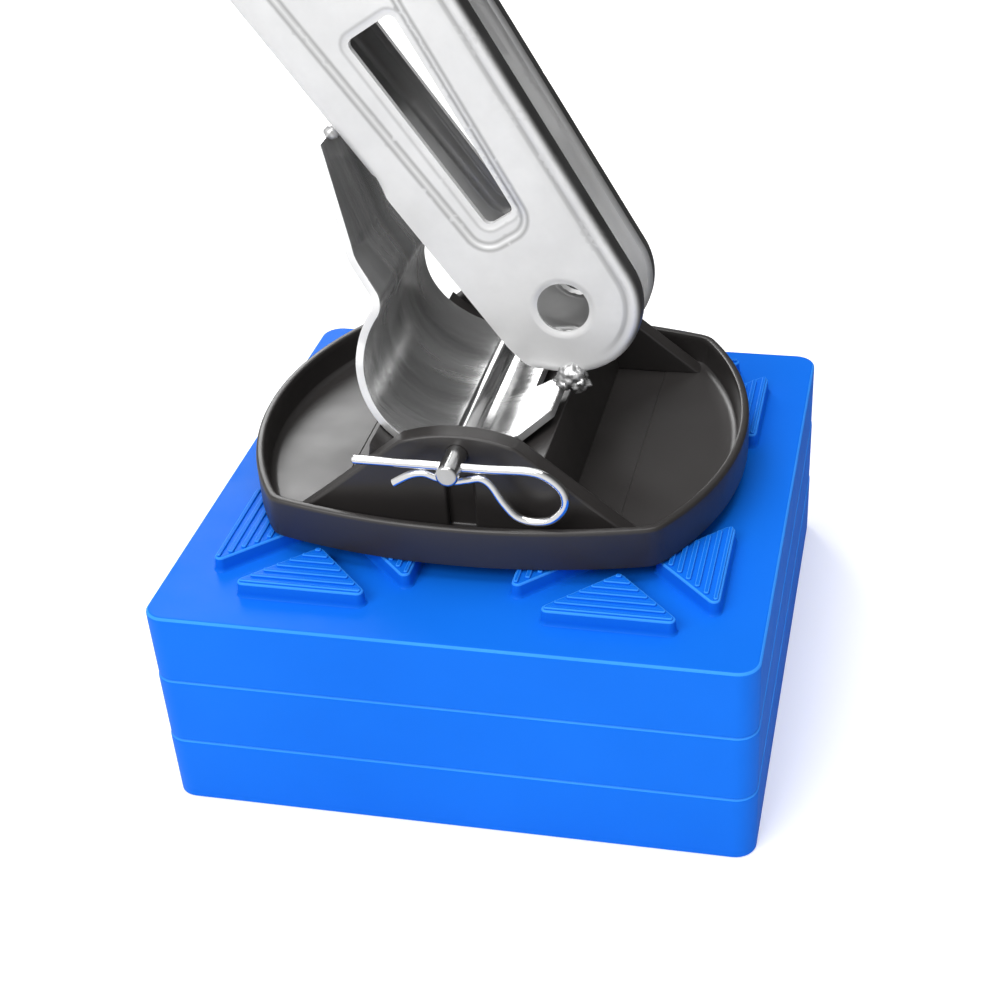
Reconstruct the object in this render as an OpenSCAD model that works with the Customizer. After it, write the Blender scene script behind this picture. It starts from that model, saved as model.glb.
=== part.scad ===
// Caravan corner stabiliser foot: the lower leg of a corner steady, its curved
// foot plate and a moulded load pad, standing on a stack of interlocking
// levelling blocks. Millimetres, +Z up, origin at the centre of the stack's base.

/* [Levelling blocks] */
// Side of one square block
block_w = 215.9; // [210:0.1:222]
// Stacking height of one block
block_h = 27.5; // [26:0.5:30]
// Radius of the block's upright corners
block_r = 8; // [5:1:12]
// Thickness of the block's outer walls
block_wall = 3; // [2.5:0.5:4]
// Thickness of the block's top plate
block_top_t = 3.5; // [3:0.5:5]
// Height of the triangular studs
stud_h = 6.5; // [5:0.5:8]
// Half the side of the square that four studs share
stud_half = 36.7; // [35:0.1:38]
// Distance of each stud group from the block's middle lines
stud_pitch = 54.6; // [54:0.1:56]
// Width left between a stud's sides and its square's diagonals, along the edge
stud_gap = 9.8; // [8:0.2:12]

/* [Load pad] */
// Height of the pad's rim above its underside
pad_h = 16; // [14:1:20]
// Thickness of the pad's floor
pad_floor = 4; // [3:0.5:5]
// Thickness of the rim wall
pad_rim = 3.5; // [3:0.5:5]
// Thickness of each ear
ear_t = 8; // [6:1:10]

/* [Clevis pin and clip] */
// Diameter of the clevis pin
pin_d = 8; // [6:1:9]
// Diameter of the clip's wire
wire_d = 3.2; // [2.8:0.2:3.4]

/* [Steady leg] */
// Thickness of the leg's pressed sheet
leg_t = 2.2; // [2:0.1:3]
// Width of the leg across its two side plates
leg_w = 34; // [30:1:36]
// Lean of the leg, measured from the ground
leg_lean = 57.5; // [55:0.5:60]
// Distance from the foot hole to the top pivot
leg_len = 205; // [195:5:240]
// Diameter of the hole at the foot of the leg
foot_hole_d = 19; // [16:0.5:20]
// Diameter of the pivot bush's bore
pivot_d = 12.5; // [10:0.5:13]

/* [Foot plate] */
// Thickness of the curved foot plate
shoe_t = 3; // [2.5:0.5:3]
// Half the plate's width at the bottom of its curve
shoe_half = 48; // [44:1:50]

/* [Hidden] */
$fn = 64;

// heights of the stack
stack_h = 3 * block_h;
pad_z = stack_h + stud_h;
floor_z = pad_z + pad_floor;
rim_z = pad_z + pad_h;

// the pad and everything on it are centred here
px = -3;
py = 9;
// pin axis above the stack's base
pin_z = pad_z + 38;
// cradle axis: the leg rocks about it
cx = -13;
cz = pad_z + 57;
cradle_r = 32;         // outer radius of the foot plate's bend
gap = 0.3;             // clearance between plate and cradle
// inner faces of the ears
ear_y0 = -50;
ear_y1 = 68;

// foot hole of the leg
hx = 25.5;
hz = pad_z + 70.5;

// ---- small functions -------------------------------------------------------
function unit(v) = v / norm(v);
// a convex outline with each corner replaced by an arc of radius r
function rounded(p, r, n = 4) = [
    for (i = [0 : len(p) - 1])
        let (a = p[(i + len(p) - 1) % len(p)], b = p[i], c = p[(i + 1) % len(p)],
             u = unit(a - b), w = unit(c - b),
             half = acos(u * w) / 2,
             centre = b + unit(u + w) * r / sin(half),
             q0 = b + u * r / tan(half), q1 = b + w * r / tan(half),
             a0 = atan2(q0[1] - centre[1], q0[0] - centre[0]),
             a1 = atan2(q1[1] - centre[1], q1[0] - centre[0]),
             d = ((a1 - a0 + 540) % 360) - 180)
        for (k = [0 : n]) centre + r * [cos(a0 + d * k / n), sin(a0 + d * k / n)]];
// a smooth curve through control points, k steps for each span
function spline(p, k = 6) = [
    for (i = [0 : len(p) - 2])
        let (a = p[max(i - 1, 0)], b = p[i], c = p[i + 1], d = p[min(i + 2, len(p) - 1)])
        for (j = [0 : k - 1])
            let (t = j / k)
            0.5 * (2 * b + (c - a) * t + (2 * a - 5 * b + 4 * c - d) * t * t + (3 * b - a - 3 * c + d) * t * t * t),
    p[len(p) - 1]];
// the normal on the left of a path at point i
function left_of(p, i) =
    let (d = unit(p[min(i + 1, len(p) - 1)] - p[max(i - 1, 0)])) [-d[1], d[0]];
function shifted(p, s) = [for (i = [0 : len(p) - 1]) p[i] + s * left_of(p, i)];
function flip(p) = [for (i = [len(p) - 1 : -1 : 0]) p[i]];

// draws an (x, z) outline as a plate from y0 to y1
module plate_y(y0, y1) {
    translate([0, y1, 0]) rotate([90, 0, 0]) linear_extrude(height = y1 - y0) children();
}

// ---- levelling block -------------------------------------------------------
module block_outline(inset = 0) {
    h = block_w / 2 - inset;
    polygon(rounded([[-h, -h], [h, -h], [h, h], [-h, h]], max(block_r - inset, 2), 6));
}

// one stud: a triangle whose long edge lies on the side of its square
module stud() {
    w = stud_half - stud_gap;
    linear_extrude(height = stud_h)
        polygon(rounded([[stud_half, -w], [stud_half, w], [stud_gap, 0]], 2.5, 4));
}

module block() {
    rib_in = stud_pitch - stud_half - 0.4;
    inner = block_w / 2 - block_wall;
    rib = 2.6;
    difference() {
        linear_extrude(height = block_h) block_outline();
        translate([0, 0, -1]) linear_extrude(height = block_h - block_top_t + 1) block_outline(block_wall);
    }
    // shallow ribs that stiffen the top plate between the stud groups
    for (a = [0, 90])
        rotate([0, 0, a])
            for (s = [-1, 1])
                translate([s * (rib_in - rib / 2) - rib / 2, -inner - 0.5, block_h - block_top_t - 4])
                    cube([rib, 2 * inner + 1, 4.5]);
    // post in the middle, down to the ground
    cylinder(r = 7, h = block_h - 1);
    // four groups of four studs
    for (sx = [-1, 1], sy = [-1, 1])
        translate([sx * stud_pitch, sy * stud_pitch, block_h - 0.2])
            for (a = [0, 90, 180, 270]) rotate([0, 0, a]) scale([1, 1, (stud_h + 0.2) / stud_h]) stud();
}

module block_bottom() { color([0.03, 0.36, 0.95]) block(); }
module block_middle() { color([0.04, 0.38, 0.97]) translate([0, 0, block_h]) block(); }
module block_top() { color([0.05, 0.40, 1.0]) translate([0, 0, 2 * block_h]) block(); }

// ---- load pad --------------------------------------------------------------
// the pad's outline: two shallow arcs front and back, two rounder ones at the ends
module pad_body(h, inset = 0) {
    intersection() {
        for (s = [1]) translate([0, 169.5, 0]) cylinder(r = 250 - inset, h = h, $fn = 128);
        translate([0, -169.5, 0]) cylinder(r = 250 - inset, h = h, $fn = 128);
        translate([-26.6, 0, 0]) cylinder(r = 119.6 - inset, h = h, $fn = 128);
        translate([26.6, 0, 0]) cylinder(r = 119.6 - inset, h = h, $fn = 128);
    }
}

function ear_arc(n = 10) = [for (i = [0 : n]) let (a = 69.5 + 41 * i / n) [60 * cos(a), pin_z - 52.6 + 60 * sin(a)]];

module ear(y0) {
    plate_y(y0, y0 + ear_t)
        translate([px, 0])
            polygon(concat([[66, floor_z - 0.5], [53, rim_z - 0.5]], ear_arc(), [[-53, rim_z - 0.5], [-66, floor_z - 0.5]]));
}

// cradle between the ears, hollow underneath, shaped to the foot plate's underside
function cradle_arc(r, a0, a1, n) = [for (i = [0 : n]) let (a = a0 + (a1 - a0) * i / n) [cx + r * cos(a), cz + r * sin(a)]];
module cradle() {
    r = cradle_r + gap;
    arc = cradle_arc(r, 222, 282, 18);
    last = arc[len(arc) - 1];
    right = [25.5, last[1] + (25.5 - last[0]) * tan(12)];
    difference() {
        plate_y(ear_y0 - 0.5, ear_y1 + 0.5)
            polygon(concat([[-42, floor_z - 0.5]], arc, [right, [31, floor_z - 0.5]]));
    }
}

module foot_pad() {
    color([0.11, 0.11, 0.12])
    difference() {
        union() {
            translate([px, py, pad_z]) difference() {
                pad_body(pad_h);
                translate([0, 0, pad_floor]) pad_body(pad_h, pad_rim);
            }
            ear(ear_y0 - ear_t);
            ear(ear_y1);
            cradle();
            // boss around the pin on each ear's inner face
            for (y = [ear_y0 - 0.5, ear_y1 - 3.5])
                translate([px, y, pin_z]) rotate([-90, 0, 0]) cylinder(d = 17, h = 4);
        }
        // pin bore through both ears
        translate([px, ear_y0 - ear_t - 1, pin_z]) rotate([-90, 0, 0])
            cylinder(d = pin_d + 0.1, h = ear_y1 - ear_y0 + 2 * ear_t + 2);
        // upright groove below the bore in each ear's outer face
        for (y = [ear_y0 - ear_t - 1, ear_y1 + ear_t - 2])
            translate([px - 5, y, floor_z + 3]) cube([10, 3, pin_z - floor_z - 12]);
        // pockets under the cradle, one each side of a middle web
        for (y = [ear_y0 + 4, py + 2])
            translate([-34, y, pad_z - 1]) cube([54, py - 2 - ear_y0 - 4, 20]);
    }
}

// ---- clevis pin and clip ---------------------------------------------------
pin_y0 = ear_y0 - ear_t - 15;
clip_y = ear_y0 - ear_t - 7.7;
module clevis_pin() {
    head_y = ear_y1 + ear_t + 0.5;
    color([0.78, 0.79, 0.80])
    difference() {
        translate([px, 0, pin_z]) rotate([-90, 0, 0]) rotate_extrude()
            polygon([[0, pin_y0], [pin_d / 2 - 0.8, pin_y0], [pin_d / 2, pin_y0 + 0.8], [pin_d / 2, head_y],
                     [7, head_y], [7, head_y + 3.2], [6.2, head_y + 4], [0, head_y + 4]]);
        translate([px - 10, clip_y, pin_z]) rotate([0, 90, 0]) cylinder(d = wire_d + 0.3, h = 20);
    }
}

// centre line of the clip, seen from the front, about the pin's axis
clip_points = [[-35.5, 0], [-20, 0], [0, 0], [14, 0], [27, 0.3], [33.5, -1.6], [38.5, -6.6], [39, -13], [34.5, -18.6],
               [28, -20.2], [22, -18.6], [17.5, -13.2], [13.5, -6.2], [10, -3.9], [5.5, -4.8], [0, -5.9], [-5.5, -4.8], [-10, -3.4], [-15, -4.6], [-21.5, -8.6]];
// round wire along a path that lies in the x-z plane
module wire(path, d, sides = 10) {
    n = len(path);
    rings = [for (i = [0 : n - 1]) let (w = left_of(path, i))
        for (k = [0 : sides - 1]) let (a = 360 * k / sides)
            [path[i][0] + d / 2 * cos(a) * w[0], d / 2 * sin(a), path[i][1] + d / 2 * cos(a) * w[1]]];
    sidefaces = [for (i = [0 : n - 2], k = [0 : sides - 1])
        [i * sides + k, i * sides + (k + 1) % sides, (i + 1) * sides + (k + 1) % sides, (i + 1) * sides + k]];
    polyhedron(points = rings,
        faces = concat([[for (k = [sides - 1 : -1 : 0]) k]], sidefaces, [[for (k = [0 : sides - 1]) (n - 1) * sides + k]]));
}
module r_clip() {
    color([0.88, 0.88, 0.90])
        translate([px, clip_y, pin_z]) wire(spline(clip_points, 3), wire_d);
}

// ---- steady leg ------------------------------------------------------------
// places a drawing made along the leg: x runs up the leg, y across it, downwards
module on_leg(y0, y1) {
    translate([hx, 0, hz]) rotate([0, leg_lean - 180, 0]) plate_y(y0, y1) children();
}
// half widths of the side plate at distance u up the leg
function under(u) = 27 + 0.055 * u;
function over(u) = 28.5 + 0.05 * u;
top_r = 36;
function side_outline() = concat(
    [for (i = [0 : 14]) let (a = 94 + 172 * i / 14) [27 * cos(a), 27 * sin(a) - 0.8]],
    [[40, -over(40)], [leg_len - 10, -over(leg_len - 10)]],
    [for (i = [0 : 10]) let (a = -75 + 150 * i / 10) [leg_len + top_r * cos(a), top_r * sin(a)]],
    [[leg_len - 10, under(leg_len - 10)], [40, under(40)]]);
module slot_outline(m = 0) {
    polygon(rounded([[39 - m, -5.9 - m], [117.5 + m, -11.2 - m], [117.5 + m, 9 + m], [39 - m, 5.8 + m]], 2.5 + m, 4));
}
// the pressed panel around the slot
module panel_outline(m = 0) {
    polygon(rounded([[31.5 + m, -8.7 + m], [168 - m, -19.5 + m], [168 - m, 22.5 - m], [31.5 + m, 13 - m]], 8 - m, 5));
}

module leg_channel() {
    near = py - leg_w / 2;
    far = py + leg_w / 2;
    lip = 7.5;
    press = 0.8;
    color([0.80, 0.81, 0.82])
    difference() {
        union() {
            // side plates with a shallow pressed panel
            for (s = [[near, 1], [far, -1]]) {
                difference() {
                    on_leg(s[1] > 0 ? s[0] : s[0] - leg_t, s[1] > 0 ? s[0] + leg_t : s[0]) polygon(side_outline());
                    on_leg(s[1] > 0 ? s[0] - 1 : s[0] - press, s[1] > 0 ? s[0] + press : s[0] + 1) panel_outline();
                }
                on_leg(s[1] > 0 ? s[0] + press : s[0] - leg_t - press, s[1] > 0 ? s[0] + leg_t + press : s[0] - press) panel_outline();
            }
            // underside web, cut short above the foot
            on_leg(near + 0.5, far - 0.5)
                polygon([[78, under(78)], [leg_len - 20, under(leg_len - 20)], [leg_len - 20, under(leg_len - 20) - leg_t], [78, under(78) - leg_t]]);
            // lips turned in along the open edges
            for (y = [near + 0.5, far - lip])
                on_leg(y, y + lip - 0.5)
                    polygon([[12, -over(12) + 0.9], [40, -over(40)], [leg_len - 12, -over(leg_len - 12)],
                             [leg_len - 12, -over(leg_len - 12) + leg_t], [40, -over(40) + leg_t], [12, -over(12) + 0.9 + leg_t]]);
        }
        on_leg(near - 5, far + 5) slot_outline();
        // foot hole and pivot seats, through both side plates
        translate([hx, near - 5, hz]) rotate([-90, 0, 0]) cylinder(d = foot_hole_d, h = leg_w + 10);
        translate([hx, near - 5, hz]) rotate([0, leg_lean - 180, 0]) translate([leg_len, 0, 0]) rotate([-90, 0, 0])
            cylinder(d = 22, h = leg_w + 10);
    }
}

module pivot_bush() {
    color([0.70, 0.71, 0.72])
    translate([hx, py - leg_w / 2 - 3, hz]) rotate([0, leg_lean - 180, 0]) translate([leg_len, 0, 0]) rotate([-90, 0, 0])
        difference() {
            cylinder(d = 22, h = leg_w + 6);
            translate([0, 0, -1]) cylinder(d = pivot_d, h = leg_w + 8);
        }
}

// ---- curved foot plate -----------------------------------------------------
// upper surface of the plate, from the tab on the leg's underside round to the tips
// the bend's inner radius, the S-bend above it and where the two meet
shoe_r = cradle_r - shoe_t;
s_ang = 145;
s_r = 8;
s_x = cx + (shoe_r + s_r) * cos(s_ang);
s_z = cz + (shoe_r + s_r) * sin(s_ang);
shoe_line = concat(
    [[-56.2, pad_z + 130.5], [-50.8, pad_z + 114], [-45.6, pad_z + 98], [-44.6, pad_z + 94.6], [-43.2, pad_z + 92], [-41.4, pad_z + 89.4]],
    [for (i = [0 : 10]) let (a = 35 - 70 * i / 10) [s_x + s_r * cos(a), s_z + s_r * sin(a)]],
    [for (i = [1 : 30]) let (a = s_ang + (288 - s_ang) * i / 30) [cx + shoe_r * cos(a), cz + shoe_r * sin(a)]],
    [[cx + shoe_r * cos(288) + 29 * cos(18), cz + shoe_r * sin(288) + 29 * sin(18)]]);

module foot_plate() {
    // half width against height on the upright part
    wz = [[pad_z + 135, 20.5], [pad_z + 130, 21], [pad_z + 98, 31], [pad_z + 79, 37], [pad_z + 64, 40], [pad_z + 57, 42.5],
          [pad_z + 44, 45.5], [pad_z + 33, shoe_half], [pad_z + 5, shoe_half]];
    // half width against reach on the lower part, ending in the two tongues
    wx = [[-70, shoe_half], [14, shoe_half - 0.5], [33, 19.5], [50, 10]];
    color([0.76, 0.77, 0.78])
    intersection() {
        plate_y(py - 60, py + 60) polygon(concat(shoe_line, flip(shifted(shoe_line, -shoe_t))));
        translate([-80, py, 0]) rotate([90, 0, 90]) linear_extrude(height = 160)
            polygon(concat([for (q = wz) [q[1], q[0]]], flip([for (q = wz) [-q[1], q[0]]])));
        translate([0, py, 0]) difference() {
            linear_extrude(height = 400)
                polygon(concat([for (q = wx) [q[0], q[1]]], flip([for (q = wx) [q[0], -q[1]]])));
            translate([0, 0, -1]) linear_extrude(height = pad_z + 60)
                polygon(rounded([[12.5, -12], [24, -6], [60, -4], [60, 4], [24, 6], [12.5, 12]], 1, 2));
        }
    }
}

// a rounded bead lying along the y axis
module bead(r, l) {
    rotate([-90, 0, 0]) rotate_extrude()
        polygon([[0, 0], [r * 0.6, 0], [r * 0.9, l * 0.18], [r, l * 0.4], [r, l * 0.6], [r * 0.9, l * 0.82], [r * 0.6, l], [0, l]]);
}
module foot_welds() {
    near = py - leg_w / 2;
    far = py + leg_w / 2;
    color([0.66, 0.66, 0.67]) {
        // fillet beads at the tongues' tips
        translate([28.5, near - 3.4, pad_z + 42.4]) bead(5.6, 8);
        translate([28.5, far - 4.6, pad_z + 42.4]) bead(5.6, 8);
        // bead along the tab's top edge
        translate([-54.4, near + 2.5, pad_z + 131.8]) bead(3.2, leg_w - 5);
    }
}

block_bottom();
block_middle();
block_top();
foot_pad();
clevis_pin();
r_clip();
leg_channel();
foot_plate();
foot_welds();
pivot_bush();
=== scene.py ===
import json
import math

import bpy
import bmesh
import numpy as np
from mathutils import Matrix, Vector, noise
from mathutils.geometry import delaunay_2d_cdt


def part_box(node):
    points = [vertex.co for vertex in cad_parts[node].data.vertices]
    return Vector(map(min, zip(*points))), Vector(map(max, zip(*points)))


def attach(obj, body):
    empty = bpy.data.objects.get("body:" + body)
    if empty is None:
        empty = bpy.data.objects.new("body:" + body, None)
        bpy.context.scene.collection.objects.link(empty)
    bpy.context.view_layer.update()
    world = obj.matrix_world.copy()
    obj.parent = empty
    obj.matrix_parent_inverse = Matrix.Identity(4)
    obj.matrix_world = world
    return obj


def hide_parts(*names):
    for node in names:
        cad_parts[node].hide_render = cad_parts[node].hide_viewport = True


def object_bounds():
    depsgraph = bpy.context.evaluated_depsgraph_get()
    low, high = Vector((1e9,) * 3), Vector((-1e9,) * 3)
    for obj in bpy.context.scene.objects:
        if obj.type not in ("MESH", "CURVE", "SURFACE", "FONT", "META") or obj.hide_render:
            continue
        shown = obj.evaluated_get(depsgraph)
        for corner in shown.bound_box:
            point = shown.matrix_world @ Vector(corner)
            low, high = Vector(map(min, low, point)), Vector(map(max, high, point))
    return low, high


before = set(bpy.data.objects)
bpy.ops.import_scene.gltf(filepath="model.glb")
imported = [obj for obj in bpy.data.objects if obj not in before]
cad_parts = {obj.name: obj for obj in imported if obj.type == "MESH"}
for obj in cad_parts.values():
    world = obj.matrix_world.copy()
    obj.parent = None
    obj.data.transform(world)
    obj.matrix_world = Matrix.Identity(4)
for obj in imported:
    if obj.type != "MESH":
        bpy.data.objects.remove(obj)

cad_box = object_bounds()
sin, cos, pi = math.sin, math.cos, math.pi
rad = math.radians


# ---------------------------------------------------------------- sizes (mm)
def lohi(node):
    lo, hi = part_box(node)
    return [c * 1000 for c in lo], [c * 1000 for c in hi]


b_lo, b_hi = lohi("block_bottom")
BW = (b_hi[0] - b_lo[0]) / 2             # half the block's side
m_lo, _ = lohi("block_middle")
BH = m_lo[2]                             # stacking height
STUD_H = b_hi[2] - BH
p_lo, p_hi = lohi("foot_pad")
PZ = p_lo[2]                             # the pad's underside
PX, PY = -3.0, 9.0
PIN_Z = PZ + 38
CX, CZ, CR = -13.0, PZ + 57, 32.0        # rocking axis and bend radius
EAR0, EAR1, EAR_T = -50.0, 68.0, 8.0
HX, HZ = 25.5, PZ + 70.5                 # hole at the leg's foot
LEAN = 57.5
LEG_W = 34.0
NEAR, FAR = PY - LEG_W / 2, PY + LEG_W / 2
LEG_L = 205.0
UX, UZ = -cos(rad(LEAN)), sin(rad(LEAN))
VX, VZ = sin(rad(LEAN)), cos(rad(LEAN))


# ---------------------------------------------------------------- materials
def new_mat(name):
    m = bpy.data.materials.new(name)
    m.use_nodes = True
    nt = m.node_tree
    nt.nodes.clear()
    out = nt.nodes.new("ShaderNodeOutputMaterial")
    p = nt.nodes.new("ShaderNodeBsdfPrincipled")
    nt.links.new(p.outputs[0], out.inputs[0])
    return m, nt, p


def coords(nt, scale=(1, 1, 1)):
    tc = nt.nodes.new("ShaderNodeTexCoord")
    mp = nt.nodes.new("ShaderNodeMapping")
    mp.inputs["Scale"].default_value = scale
    nt.links.new(tc.outputs["Object"], mp.inputs[0])
    return mp.outputs[0]


def noise_tex(nt, vec, scale, detail=4, rough=0.55):
    n = nt.nodes.new("ShaderNodeTexNoise")
    n.inputs["Scale"].default_value = scale
    n.inputs["Detail"].default_value = detail
    n.inputs["Roughness"].default_value = rough
    nt.links.new(vec, n.inputs["Vector"])
    return n.outputs["Fac"]


def ramp(nt, fac, stops):
    r = nt.nodes.new("ShaderNodeValToRGB")
    el = r.color_ramp.elements
    while len(el) < len(stops):
        el.new(0.5)
    for e, (pos, col) in zip(el, stops):
        e.position = pos
        e.color = (*col, 1) if len(col) == 3 else col
    nt.links.new(fac, r.inputs[0])
    return r.outputs[0]


def to_range(nt, fac, lo, hi, a=0.3, b=0.7):
    r = nt.nodes.new("ShaderNodeMapRange")
    r.inputs["From Min"].default_value = a
    r.inputs["From Max"].default_value = b
    r.inputs["To Min"].default_value = lo
    r.inputs["To Max"].default_value = hi
    nt.links.new(fac, r.inputs[0])
    return r.outputs[0]


def bump(nt, p, fac, strength, dist=0.001):
    b = nt.nodes.new("ShaderNodeBump")
    b.inputs["Strength"].default_value = strength
    b.inputs["Distance"].default_value = dist
    nt.links.new(fac, b.inputs["Height"])
    nt.links.new(b.outputs[0], p.inputs["Normal"])
    return b


def mat_blue(name, c0, c1):
    m, nt, p = new_mat(name)
    v = coords(nt)
    n = noise_tex(nt, v, 9, 3)
    nt.links.new(ramp(nt, n, [(0.3, c0), (0.7, c1)]), p.inputs["Base Color"])
    n2 = noise_tex(nt, v, 60, 3)
    nt.links.new(to_range(nt, n2, 0.36, 0.46), p.inputs["Roughness"])
    p.inputs["Specular IOR Level"].default_value = 0.05
    n3 = noise_tex(nt, v, 900, 2)
    bump(nt, p, n3, 0.05, 0.0002)
    return m


def mat_black():
    m, nt, p = new_mat("pad_plastic")
    v = coords(nt)
    n = noise_tex(nt, v, 14, 4)
    nt.links.new(ramp(nt, n, [(0.3, (0.0270, 0.0245, 0.0240)), (0.7, (0.0340, 0.0310, 0.0300))]), p.inputs["Base Color"])
    n2 = noise_tex(nt, v, 35, 4)
    nt.links.new(to_range(nt, n2, 0.31, 0.42), p.inputs["Roughness"])
    p.inputs["Specular IOR Level"].default_value = 0.5
    n3 = noise_tex(nt, v, 700, 2)
    bump(nt, p, n3, 0.06, 0.0002)
    return m


def mat_zinc(name, lo, hi, r0, r1, mottle=26, b=0.12, tint=(1, 1, 1), stretch=(1, 1, 1), metal=1.0, light_shade_tone=None, light_shade_metal=1.0, mask="painted_bend_shade"):
    m, nt, p = new_mat(name)
    v = coords(nt, stretch)
    n = noise_tex(nt, v, mottle, 5, 0.6)
    base = ramp(nt, n, [(0.3, tuple(lo * t for t in tint)), (0.72, tuple(hi * t for t in tint))])
    if light_shade_tone is None:
        nt.links.new(base, p.inputs["Base Color"])
    else:
        # painted shade: pressed and rolled lines and the crease are painted as darker, shinier steel; painted light:
        # the open side of the inside is painted paler and duller
        at = nt.nodes.new("ShaderNodeAttribute")
        at.attribute_name = mask
        mx = nt.nodes.new("ShaderNodeMix")
        mx.data_type = "RGBA"
        mx.inputs["B"].default_value = (light_shade_tone, light_shade_tone, light_shade_tone, 1)
        nt.links.new(at.outputs["Fac"], mx.inputs["Factor"])
        nt.links.new(base, mx.inputs["A"])
        nt.links.new(mx.outputs["Result"], p.inputs["Base Color"])
    n2 = noise_tex(nt, v, mottle * 2.2, 4)
    nt.links.new(to_range(nt, n2, r0, r1), p.inputs["Roughness"])
    p.inputs["Metallic"].default_value = metal
    if light_shade_tone is not None:
        nt.links.new(to_range(nt, at.outputs["Fac"], metal, light_shade_metal, 0.0, 1.0), p.inputs["Metallic"])
    n3 = noise_tex(nt, v, mottle * 9, 4)
    bump(nt, p, n3, b, 0.0003)
    return m


M_BLUE = mat_blue("block_plastic", (0.0040, 0.142, 0.72), (0.0060, 0.160, 0.78))
# lighter blue for the rounded top edges of blocks, studs and ridges: a painted highlight
M_BLUE_HIGHLIGHT = mat_blue("block_plastic_painted_highlight", (0.030, 0.26, 0.92), (0.045, 0.31, 0.96))
M_BLACK = mat_black()
# outer steel, painted darker and shinier along the bends, the crease and the pressed lines: painted shade
M_LEG = mat_zinc("leg_zinc", 0.66, 0.82, 0.30, 0.44, 22, 0.12, metal=0.33, light_shade_tone=0.38)
# the inside of the channel: a darker copy of the same steel, painted shade, made paler and duller towards the open
# side, painted light
M_LEG_IN_SHADED = mat_zinc("leg_zinc_inside_painted_shade", 0.38, 0.52, 0.30, 0.42, 14, 0.10, metal=0.92, light_shade_tone=0.95, light_shade_metal=0.15, mask="open_side_painted_light")
M_PLATE = mat_zinc("plate_steel", 0.38, 0.86, 0.16, 0.30, 9, 0.14, stretch=(0.6, 9, 0.6), metal=0.80)
M_EDGE = mat_zinc("plate_edge", 0.80, 0.95, 0.40, 0.55, 90, 0.25)
M_PIN = mat_zinc("pin_steel", 0.55, 0.70, 0.16, 0.26, 40, 0.05)
M_CLIP = mat_zinc("clip_steel", 0.82, 0.92, 0.12, 0.20, 60, 0.03)
M_WELD = mat_zinc("weld_metal", 0.55, 0.85, 0.25, 0.45, 130, 0.5)


# ---------------------------------------------------------------- mesh tools
def make(name, verts, faces, mats, face_mat=None, recalc=True):
    me = bpy.data.meshes.new(name)
    me.from_pydata([tuple(c * 0.001 for c in v) for v in verts], [], [list(f) for f in faces])
    for m in (mats if isinstance(mats, (list, tuple)) else [mats]):
        me.materials.append(m)
    if face_mat is not None:
        for f, i in zip(me.polygons, face_mat):
            f.material_index = i
    ob = bpy.data.objects.new(name, me)
    bpy.context.scene.collection.objects.link(ob)
    if recalc:
        bm = bmesh.new()
        bm.from_mesh(me)
        bmesh.ops.recalc_face_normals(bm, faces=bm.faces)
        bm.to_mesh(me)
        bm.free()
    return ob


def bake(ob):
    """Turns the modifiers into plain mesh."""
    bpy.context.view_layer.update()
    dg = bpy.context.evaluated_depsgraph_get()
    me = bpy.data.meshes.new_from_object(ob.evaluated_get(dg))
    ob.modifiers.clear()
    ob.data = me
    return ob


def bevel(ob, width, seg=3, angle=30):
    m = ob.modifiers.new("bevel", "BEVEL")
    m.width = width * 0.001
    m.segments = seg
    m.limit_method = "ANGLE"
    m.angle_limit = rad(angle)
    m.use_clamp_overlap = True
    m.miter_outer = "MITER_ARC"
    return bake(ob)


def cut(ob, *cutters):
    for c in cutters:
        m = ob.modifiers.new("cut", "BOOLEAN")
        m.operation = "DIFFERENCE"
        m.solver = "EXACT"
        m.object = c
        bake(ob)
        bpy.data.objects.remove(c)
    return ob


def fuse(ob, *others):
    for c in others:
        m = ob.modifiers.new("fuse", "BOOLEAN")
        m.operation = "UNION"
        m.solver = "EXACT"
        m.object = c
        bake(ob)
        bpy.data.objects.remove(c)
    return ob


def shade(ob, angle=35, weighted=True):
    ob.data.shade_smooth()
    ob.data.set_sharp_from_angle(angle=rad(angle))
    if weighted:
        w = ob.modifiers.new("normals", "WEIGHTED_NORMAL")
        w.keep_sharp = True
        w.weight = 50
    return ob


def done(ob, body, slot_name, *nodes, angle=35, weighted=True):
    shade(ob, angle, weighted)
    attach(ob, body)
    if nodes:
        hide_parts(*nodes)
    return ob


def join(name, obs):
    """One object out of several, with the first one's materials."""
    bm = bmesh.new()
    mats = []
    for o in obs:
        remap = []
        for m in o.data.materials:
            if m not in mats:
                mats.append(m)
            remap.append(mats.index(m))
        start = len(bm.faces)
        bm.from_mesh(o.data)
        bm.faces.ensure_lookup_table()
        for f in bm.faces[start:]:
            f.material_index = remap[f.material_index] if remap else 0
        bpy.data.objects.remove(o)
    me = bpy.data.meshes.new(name)
    bm.to_mesh(me)
    bm.free()
    for m in mats:
        me.materials.append(m)
    ob = bpy.data.objects.new(name, me)
    bpy.context.scene.collection.objects.link(ob)
    return ob


def rounded(pts, r, n=5):
    """An outline with each corner replaced by an arc. r is one radius or one for each corner."""
    out = []
    k = len(pts)
    for i in range(k):
        ri = r[i] if isinstance(r, (list, tuple)) else r
        a, b, c = (np.array(pts[(i + j) % k], float) for j in (-1, 0, 1))
        u = (a - b) / np.linalg.norm(a - b)
        w = (c - b) / np.linalg.norm(c - b)
        if ri <= 0:
            out.append(tuple(b))
            continue
        half = math.acos(max(-1, min(1, float(u @ w)))) / 2
        m = (u + w) / np.linalg.norm(u + w)
        centre = b + m * ri / sin(half)
        q0, q1 = b + u * ri / math.tan(half), b + w * ri / math.tan(half)
        a0 = math.atan2(*(q0 - centre)[::-1])
        a1 = math.atan2(*(q1 - centre)[::-1])
        d = (a1 - a0 + 3 * pi) % (2 * pi) - pi
        for j in range(n + 1):
            t = a0 + d * j / n
            out.append((centre[0] + ri * cos(t), centre[1] + ri * sin(t)))
    return out


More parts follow.
